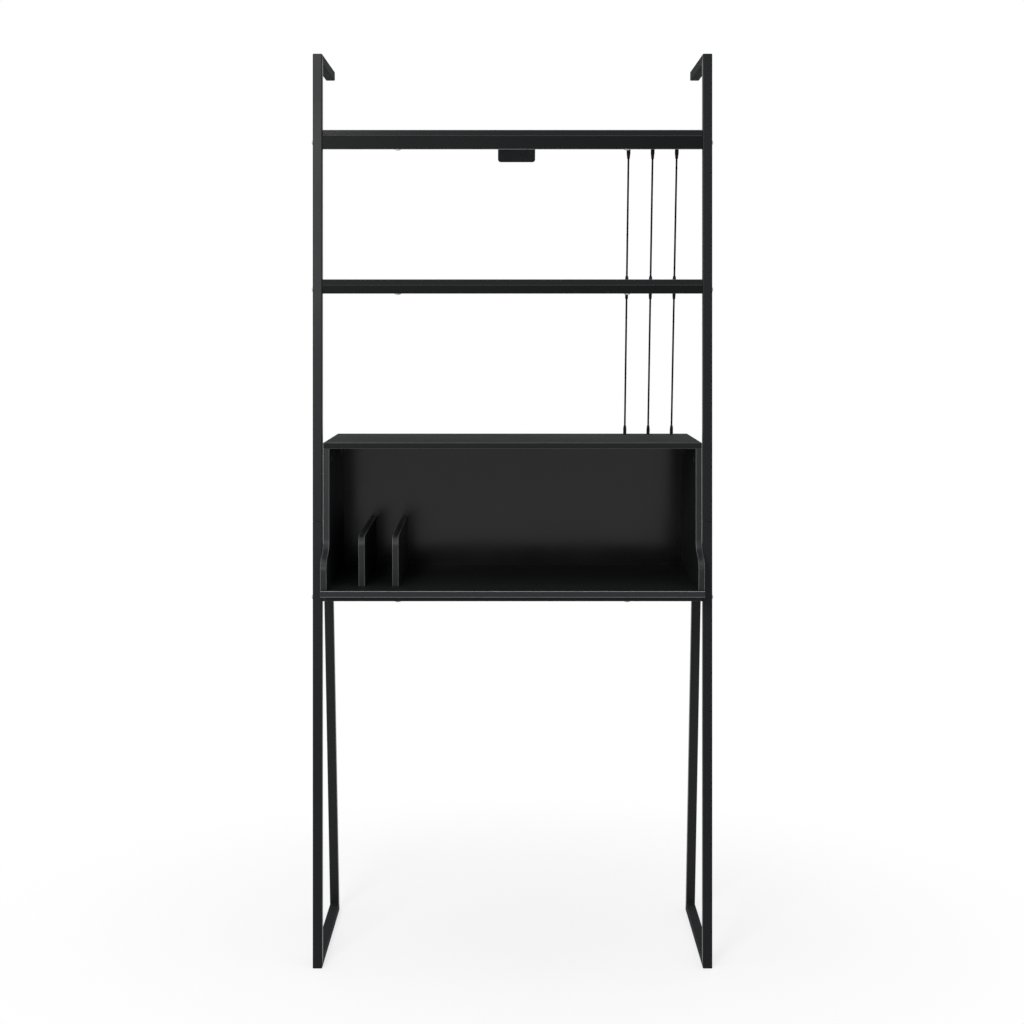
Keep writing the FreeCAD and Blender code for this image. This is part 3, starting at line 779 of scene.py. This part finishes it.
def set_forms(
    tool: NodeTool, name: str, form: bpy.types.Object, seats: Sequence[Seat], finish: Finish, seed: int,
) -> bpy.types.Object:
    """Sets a form on its seats and makes one mesh of them.

    Args:
        tool: The tree that sets forms on seats.
        name: The name of the new piece.
        form: The form, removed afterwards.
        seats: The seats.
        finish: The finish.
        seed: The seed of the chance turns.

    Returns:
        The new piece.
    """
    form.data.shade_smooth()
    form.data.set_sharp_from_angle(angle=SMOOTH_ANGLE)
    mesh = bpy.data.meshes.new(name + "_seats")
    mesh.from_pydata([seat.place for seat in seats], [], [])
    axes = mesh.attributes.new(SEAT_AXIS, "FLOAT_VECTOR", "POINT")
    for row, seat in zip(axes.data, seats):
        row.vector = seat.outward
    values = {"Form": form, "Turn Seed": seed, "Most Turn": TURN, "Finish": finish.material()}
    piece = tool.run(link_object(name + "_seats", mesh), name, values)
    bpy.data.objects.remove(form)
    return piece


def merge(name: str, pieces: Sequence[bpy.types.Object]) -> bpy.types.Object:
    """Makes one mesh of pieces that share a finish.

    Args:
        name: The name of the new piece.
        pieces: The pieces, removed afterwards.

    Returns:
        The new piece.
    """
    shape = bmesh.new()
    for piece in pieces:
        shape.from_mesh(piece.data)
    merged = mesh_object(name, shape)
    merged.data.materials.append(pieces[0].data.materials[0])
    for piece in pieces:
        bpy.data.objects.remove(piece)
    return merged


# Sub-assemblies

@dataclass
class SideFrames:
    """The two welded side frames. Sizes in metres."""

    width: float = 0.790
    depth: float = 0.450
    leg_wall_gap: float = 0.050
    height: float = 1.800
    tube: float = 0.019
    post_lean: float = math.radians(5.34)
    leg_lean: float = math.radians(6.0)
    rail_top: float = 0.738
    bead_radius: float = 0.0014
    bead_inset: float = 0.0022
    ripple: float = 0.0021
    bead_step: float = 0.0004
    satin: tuple[str, ...] = ("front_leg", "upper_post", "post_spigot")
    # The rear legs, side rails and desk angles take the paler coat: painted light.
    pale: tuple[str, ...] = ("rear_leg", "side_rail", "desk_angle")
    matt: tuple[str, ...] = ("floor_rail", "wall_arm")

    def inside_corners(self) -> list[tuple[float, float]]:
        """Finds the inside corners of the welded tubes in the side view.

        Returns:
            Y and Z of each corner.
        """
        post = -self.depth / 2 + self.tube / math.cos(self.post_lean)
        leg = self.depth / 2 - self.leg_wall_gap - self.tube / math.cos(self.leg_lean)
        rail_low = self.rail_top - self.tube
        arm_low = self.height - self.tube
        return [
            (post + self.tube * math.tan(self.post_lean), self.tube),
            (leg - self.tube * math.tan(self.leg_lean), self.tube),
            (leg - rail_low * math.tan(self.leg_lean), rail_low),
            (post + rail_low * math.tan(self.post_lean), rail_low),
            (post + arm_low * math.tan(self.post_lean), arm_low),
        ]

    def build(self, tool: NodeTool) -> bpy.types.Object:
        """Lays the weld beads in the inside corners.

        Args:
            tool: The tree that lays beads.

        Returns:
            The beads.
        """
        curve = bpy.data.curves.new("weld_lines", "CURVE")
        curve.dimensions = "3D"
        reach = self.tube / 2 - self.bead_inset
        for sign in SIDES.values():
            middle = sign * (self.width - self.tube) / 2
            for y, z in self.inside_corners():
                line = curve.splines.new("POLY")
                line.points.add(1)
                line.points[0].co = (middle - reach, y, z, 1.0)
                line.points[1].co = (middle + reach, y, z, 1.0)
        values = {
            "Bead Radius": self.bead_radius, "Ripple": self.ripple, "Step": self.bead_step,
            "Finish": POWDER_COAT.material(),
        }
        return settle(tool.run(link_object("weld_lines", curve), "weld_beads", values), "black_powder_coat")

    def dress(self) -> None:
        """Coats the tubes and dresses the end caps."""
        for side in SIDES:
            dress(POWDER_COAT, [side + "_" + name for name in self.satin])
            dress(PAINTED_LIGHT_COAT, [side + "_" + name for name in self.pale])
            dress(MATT_COAT, [side + "_" + name for name in self.matt])
            dress(MOULDED_PLASTIC, [side + "_arm_end_cap"])


@dataclass
class Crossbars:
    """The bars, straps and plate between the side frames, and the fixings on them. Sizes in metres."""

    desk_bars: tuple[str, ...] = ("desk_front_crossbar", "desk_rear_crossbar")
    shelf_bars: tuple[str, ...] = ("middle_shelf_crossbar", "top_shelf_crossbar")
    straps: tuple[str, ...] = (
        "middle_shelf_left_strap", "middle_shelf_right_strap", "top_shelf_left_strap", "top_shelf_right_strap",
    )
    screw_inset: float = 0.149
    screw_bite: float = 0.0085
    bolt_seed: int = 11
    screw_seed: int = 23

    def bars(self) -> tuple[str, ...]:
        """Gives all the bars, the desk's first."""
        return self.desk_bars + self.shelf_bars

    def bolt_seats(self, width: float) -> list[Seat]:
        """Places the frame bolts outside the posts, at the middle of each bar.

        Args:
            width: The desk's width in metres.

        Returns:
            A left and a right seat for each bar.
        """
        seats = []
        for name in self.bars():
            low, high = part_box(name)
            middle = (low + high) / 2
            for sign in SIDES.values():
                seats.append(Seat(Vector((sign * width / 2, middle.y, middle.z)), Vector((sign, 0, 0))))
        return seats

    def build_screws(self, tool: NodeTool, name: str) -> bpy.types.Object:
        """Makes the two screws that go up through one bar into its board.

        Args:
            tool: The tree that sets forms on seats.
            name: The bar.

        Returns:
            The two screws.
        """
        low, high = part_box(name)
        screw = HeadForm(
            name=name + "_pan_screw", head=12.0, rise=2.6, rim=0.9, shank=4.0, point=2.0,
            length=(high.z - low.z + self.screw_bite) / MM,
            drive=Drive.CROSS, drive_size=6.0, drive_depth=1.1,
        )
        reach, middle = high.x - self.screw_inset, (low.y + high.y) / 2
        seats = [Seat(Vector((sign * reach, middle, low.z)), DOWN) for sign in SIDES.values()]
        return set_forms(tool, name + "_pan_screws", screw.build(), seats, BLACK_SCREWS, self.screw_seed)

    def build(self, tool: NodeTool, width: float) -> None:
        """Makes the bolts and the bar screws.

        Args:
            tool: The tree that sets forms on seats.
            width: The desk's width in metres.
        """
        bolt = HeadForm(
            name="button_bolt", head=10.5, rise=2.6, shank=6.0, length=35.0,
            drive=Drive.HEXAGON, drive_size=4.0, drive_depth=1.5,
        )
        seats = self.bolt_seats(width)
        bolts = set_forms(tool, "frame_button_bolts", bolt.build(), seats, BRIGHT_BOLTS, self.bolt_seed)
        settle(bolts, "zinc_fittings", "frame_bolts")
        screws = merge("crossbar_pan_screws", [self.build_screws(tool, name) for name in self.bars()])
        settle(screws, "black_screws", "crossbar_screws")

    def dress(self) -> None:
        """Coats the bars, the straps and the plate, and dresses the fixings kept from the solids."""
        # The desk bars take the paler coat: painted light under the desk board.
        dress(PAINTED_LIGHT_COAT, self.desk_bars)
        dress(POWDER_COAT, self.straps)
        # The shelf bars take the deeper coat: painted shade under the boards.
        dress(PAINTED_SHADE_COAT, self.shelf_bars)
        dress(TEXTURED_COAT, ("wall_plate",))
        dress(ZINC, ("crossbar_plugs",))
        dress(BLACK_SCREWS, ("strap_screws", "angle_rivets", "angle_screws", "wall_plate_screws"))


@dataclass
class Boards:
    """The desk, the two shelves and the hutch with its dividers."""

    desk: tuple[str, ...] = ("desk_board",)
    level: tuple[str, ...] = ("middle_shelf_board", "top_shelf_board", "hutch_top_panel")
    upright: tuple[str, ...] = (
        "left_hutch_side", "right_hutch_side", "outer_file_divider", "inner_file_divider",
    )
    back: tuple[str, ...] = ("hutch_back_panel",)

    def dress(self) -> None:
        """Gives each board its pressed faces, and the joinery its metal and wood."""
        dress(MELAMINE_DESK, self.desk)
        dress(MELAMINE_LEVEL, self.level)
        dress(MELAMINE_SIDE, self.upright)
        dress(MELAMINE_BACK, self.back)
        dress(ZINC, ("cam_locks", "cam_bolts"))
        dress(BLACK_SCREWS, ("hutch_screws",))
        dress(BEECH, ("hutch_dowels",))


# Outlines of what holds the cords: radius and height in millimetres, from the seat outwards.
PLUG_RIBS: Profile = (
    (3.6, -4.0), (3.6, 2.0), (3.35, 2.4), (3.35, 3.2), (3.6, 3.6), (3.6, 5.2), (3.35, 5.6), (3.35, 6.4),
    (3.6, 6.8), (3.6, 8.4), (3.35, 8.8), (3.35, 9.6), (3.6, 10.0),
)
LOW_PLUG: Profile = (
    (0.0, -4.0), *PLUG_RIBS, (3.6, 11.6), (3.4, 13.2), (2.75, 19.0), (2.6, 19.7), (2.35, 20.0), (0.0, 20.0),
)
HIGH_PLUG: Profile = (
    (0.0, -5.0), (4.0, -5.0), (4.0, 3.0), (3.7, 3.4), (3.7, 4.2), (4.0, 4.6), (4.0, 20.6), (3.85, 21.8),
    (3.6, 23.4), (2.85, 31.0), (2.7, 31.7), (2.4, 32.0), (0.0, 32.0),
)
GROMMET: Profile = (
    (0.0, -6.0), (3.2, -6.0), (3.2, 0.0), (4.5, -0.6), (4.5, 0.6), (4.2, 1.4), (2.95, 11.2), (2.8, 11.8),
    (2.5, 12.0), (0.0, 12.0),
)
COLLAR: Profile = (
    (0.0, -1.5), (4.0, -1.5), (4.0, 4.2), (3.9, 5.0), (2.95, 23.0), (2.8, 23.7), (2.5, 24.0), (0.0, 24.0),
)


@dataclass
class ElasticCords:
    """The three taut cords at the right, with their plugs and grommets. Sizes in metres."""

    places: tuple[tuple[str, float], ...] = (("inner", 0.2388), ("middle", 0.2884), ("outer", 0.338))
    foot_y: float = 0.178
    foot_z: float = 1.034
    head_y: float = 0.088
    head_z: float = 1.638
    diameter: float = 0.004
    low_grip: float = 0.010
    high_grip: float = 0.022
    yarn: float = 0.00027
    lift: float = 0.00006
    yarns: int = 10
    turns_per_metre: float = 32.0
    samples: int = 800
    shelf_top: float = 1.356
    shelf_under: float = 1.344
    round_steps: int = 40
    fitting_seed: int = 5

    def along(self) -> Vector:
        """Gives the direction of the cords, upwards."""
        return Vector((0, self.head_y - self.foot_y, self.head_z - self.foot_z)).normalized()

    def at_height(self, x: float, z: float) -> Vector:
        """Gives the place of a cord's line at a height."""
        share = (z - self.foot_z) / (self.head_z - self.foot_z)
        return Vector((x, self.foot_y + share * (self.head_y - self.foot_y), z))

    def route(self, x: float) -> bpy.types.Object:
        """Draws the line of one cord as a smooth spline from plug to plug.

        Args:
            x: Where the cord stands across the desk.

        Returns:
            The curve.
        """
        along = self.along()
        start = self.at_height(x, self.foot_z) + along * self.low_grip
        finish = self.at_height(x, self.head_z) - along * self.high_grip
        points = (start, self.at_height(x, self.shelf_top), finish)
        curve = bpy.data.curves.new("cord_route", "CURVE")
        curve.dimensions = "3D"
        line = curve.splines.new("NURBS")
        line.points.add(len(points) - 1)
        for row, point in zip(line.points, points):
            row.co = (*point, 1.0)
        line.order_u = len(points)
        line.use_endpoint_u = True
        return link_object("cord_route", curve)

    def build_cord(self, tool: NodeTool, name: str, x: float) -> bpy.types.Object:
        """Args:
            tool: The tree that braids.
            name: Which of the three it is.
            x: Where it stands across the desk.

        Returns:
            The cord.
        """
        route = self.route(x)
        graph = bpy.context.evaluated_depsgraph_get()
        line = bpy.data.meshes.new_from_object(route.evaluated_get(graph))
        bpy.data.meshes.remove(line)
        values = {
            "Core Radius": self.diameter / 2 - self.yarn - self.lift, "Yarn Radius": self.yarn,
            "Lift": self.lift, "Yarns": self.yarns, "Turns per Metre": self.turns_per_metre,
            "Samples": self.samples, "Finish": BRAIDED_ELASTIC.material(),
        }
        cord = tool.run(route, name + "_braided_cord", values)
        settle(cord, "black_elastic", name + "_elastic_cord")
        return cord

    def build_fittings(self, tool: NodeTool) -> None:
        """Turns the plugs, grommets and collars and sets them on the cords.

        Args:
            tool: The tree that sets forms on seats.
        """
        up, down = self.along(), -self.along()
        for name, profile, z, way, node in (
            ("hutch_ribbed_plugs", LOW_PLUG, self.foot_z, up, "hutch_cord_plugs"),
            ("top_long_plugs", HIGH_PLUG, self.head_z, down, "top_cord_plugs"),
            ("shelf_grommets", GROMMET, self.shelf_top, up, "middle_cord_grommets"),
            ("shelf_collars", COLLAR, self.shelf_under, down, "middle_cord_collars"),
        ):
            seats = [Seat(self.at_height(x, z), way) for _, x in self.places]
            form = turned_form(name + "_form", profile, self.round_steps)
            fittings = set_forms(tool, name, form, seats, MOULDED_PLASTIC, self.fitting_seed)
            settle(fittings, "black_plastic", node)

    def build(self, braider: NodeTool, setter: NodeTool) -> None:
        """Makes the cords and their fittings.

        Args:
            braider: The tree that braids.
            setter: The tree that sets forms on seats.
        """
        for name, x in self.places:
            self.build_cord(braider, name, x)
        self.build_fittings(setter)


# The studio

@dataclass(frozen=True, kw_only=True)
class Softbox:
    """A soft lamp. Sizes in metres, power in watts."""

    name: str
    place: Place
    aim: Place
    size: tuple[float, float]
    power: float

    def hang(self) -> bpy.types.Object:
        """Hangs the lamp and turns it to its aim.

        Returns:
            The lamp.
        """
        data = bpy.data.lights.new(self.name, "AREA")
        data.shape = "RECTANGLE"
        data.size, data.size_y = self.size
        data.energy = self.power
        hung = link_object(self.name, data)
        hung.location = self.place
        hung.rotation_euler = (Vector(self.aim) - Vector(self.place)).to_track_quat("-Z", "Y").to_euler()
        return hung


@dataclass
class Studio:
    """A pale floor, a white surround, soft lamps and the camera. Sizes in metres."""

    floor_reach: float = 19.0
    floor_behind: float = 3.0
    floor_low: float = -0.0003
    floor_seen: str = "#f4f4f3"
    floor_bounce: str = "#c8c8c7"
    near: float = 0.50
    far: float = 1.3
    near_white: float = 0.72
    ambient: float = 0.42
    key: Softbox = Softbox(
        name="key_softbox", place=(-1.3, -4.3, 3.0), aim=(0.0, 0.0, 1.2), size=(1.1, 1.7), power=110.0,
    )
    top: Softbox = Softbox(
        name="top_softbox", place=(-0.2, 0.0, 4.6), aim=(0.0, 0.0, 0.0), size=(5.0, 5.0), power=120.0,
    )
    eye: Place = (0.0, -4.076, 1.266)
    tilt_down: float = math.radians(5.34)
    lens: float = 70.3125
    sensor: float = 36.0
    shift: float = -0.0005

    def floor(self) -> bpy.types.Object:
        """Lays the floor.

        Returns:
            The floor, which fades to the white surround away from the desk.
        """
        shape = bmesh.new()
        reach = self.floor_reach / 2
        bmesh.ops.create_grid(shape, x_segments=1, y_segments=1, size=reach)
        laid = mesh_object("studio_floor", shape)
        laid.data.transform(Matrix.Translation((0, self.floor_behind - reach, self.floor_low)))
        laid.data.materials.append(self.floor_material())
        return laid

    def floor_material(self) -> bpy.types.Material:
        """Paints the floor: matt pale paint near the desk, plain white to eye and mirror further off.

        Returns:
            The material.
        """
        made = bpy.data.materials.new("studio_floor_matt_paint")
        made.use_nodes = True
        tree = made.node_tree
        tree.nodes.clear()
        shown = self.seen(tree)
        first, second = MIX_ENDS["RGBA"]
        pale = add_node(tree, MIX, {
            0: shown, first: linear(self.floor_bounce), second: linear(self.floor_seen),
        }, data_type="RGBA")
        paint = add_node(tree, "ShaderNodeBsdfDiffuse", {"Color": pale})
        white = add_node(tree, "ShaderNodeEmission", {"Color": linear(WHITE), "Strength": 1.0})
        place = add_node(tree, "ShaderNodeTexCoord").outputs["Object"]
        away = add_node(tree, VECTOR_MATH, {0: place}, operation="LENGTH")
        fade = add_node(tree, MAP_RANGE, {
            "Value": away, "From Min": self.near, "From Max": self.far, "To Min": self.near_white,
        }, interpolation_type="SMOOTHSTEP")
        share = add_node(tree, MATH, {0: fade, 1: shown}, operation="MULTIPLY")
        mixed = add_node(tree, "ShaderNodeMixShader", {0: share, 1: paint, 2: white})
        add_node(tree, "ShaderNodeOutputMaterial", {"Surface": mixed})
        return made

    def seen(self, tree: bpy.types.NodeTree) -> bpy.types.Node:
        """Tells rays that show the background from those that only carry light.

        Args:
            tree: The tree of the floor or the world.

        Returns:
            A node that gives one for the eye, a mirror or a clear body, else zero.
        """
        path = add_node(tree, "ShaderNodeLightPath").outputs
        shown = path["Is Camera Ray"]
        for other in ("Is Glossy Ray", "Is Transmission Ray"):
            shown = add_node(tree, MATH, {0: shown, 1: path[other]}, operation="MAXIMUM")
        return shown

    def surround(self) -> None:
        """Makes the world: white to eye and mirror, a plain level of light to the rest."""
        world = bpy.data.worlds.new("white_studio")
        bpy.context.scene.world = world
        world.use_nodes = True
        tree = world.node_tree
        tree.nodes.clear()
        level = add_node(tree, MAP_RANGE, {"Value": self.seen(tree), "To Min": self.ambient, "To Max": 1.0})
        light = add_node(tree, "ShaderNodeBackground", {"Color": linear(WHITE), "Strength": level})
        add_node(tree, "ShaderNodeOutputWorld", {"Surface": light})

    def camera(self) -> bpy.types.Object:
        """Sets the camera at the photograph's angle.

        Returns:
            The camera.
        """
        data = bpy.data.cameras.new("view_from_front")
        data.lens = self.lens
        data.sensor_width = self.sensor
        data.sensor_fit = "HORIZONTAL"
        data.shift_x = self.shift
        held = link_object("view_from_front", data)
        held.location = self.eye
        held.rotation_euler = (math.pi / 2 - self.tilt_down, 0.0, 0.0)
        bpy.context.scene.camera = held
        return held

    def build(self) -> None:
        """Sets up floor, surround, lamps and camera."""
        self.floor()
        self.surround()
        self.key.hang()
        self.top.hang()
        self.camera()
        bpy.context.scene.view_settings.view_transform = "Standard"
        log.info("studio: floor, surround, two lamps and camera")


def main() -> None:
    """Builds and dresses the desk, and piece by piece."""
    logging.basicConfig(level=logging.INFO, format="%(name)s %(message)s")
    setter, braider, beader = seats_tool(), braid_tool(), bead_tool()
    Studio().build()
    cords = ElasticCords()
    cords.build(braider, setter)
    frames = SideFrames()
    frames.build(beader)
    frames.dress()
    bars = Crossbars()
    bars.build(setter, frames.width)
    bars.dress()
    Boards().dress()


if __name__ == "__main__":
    main()
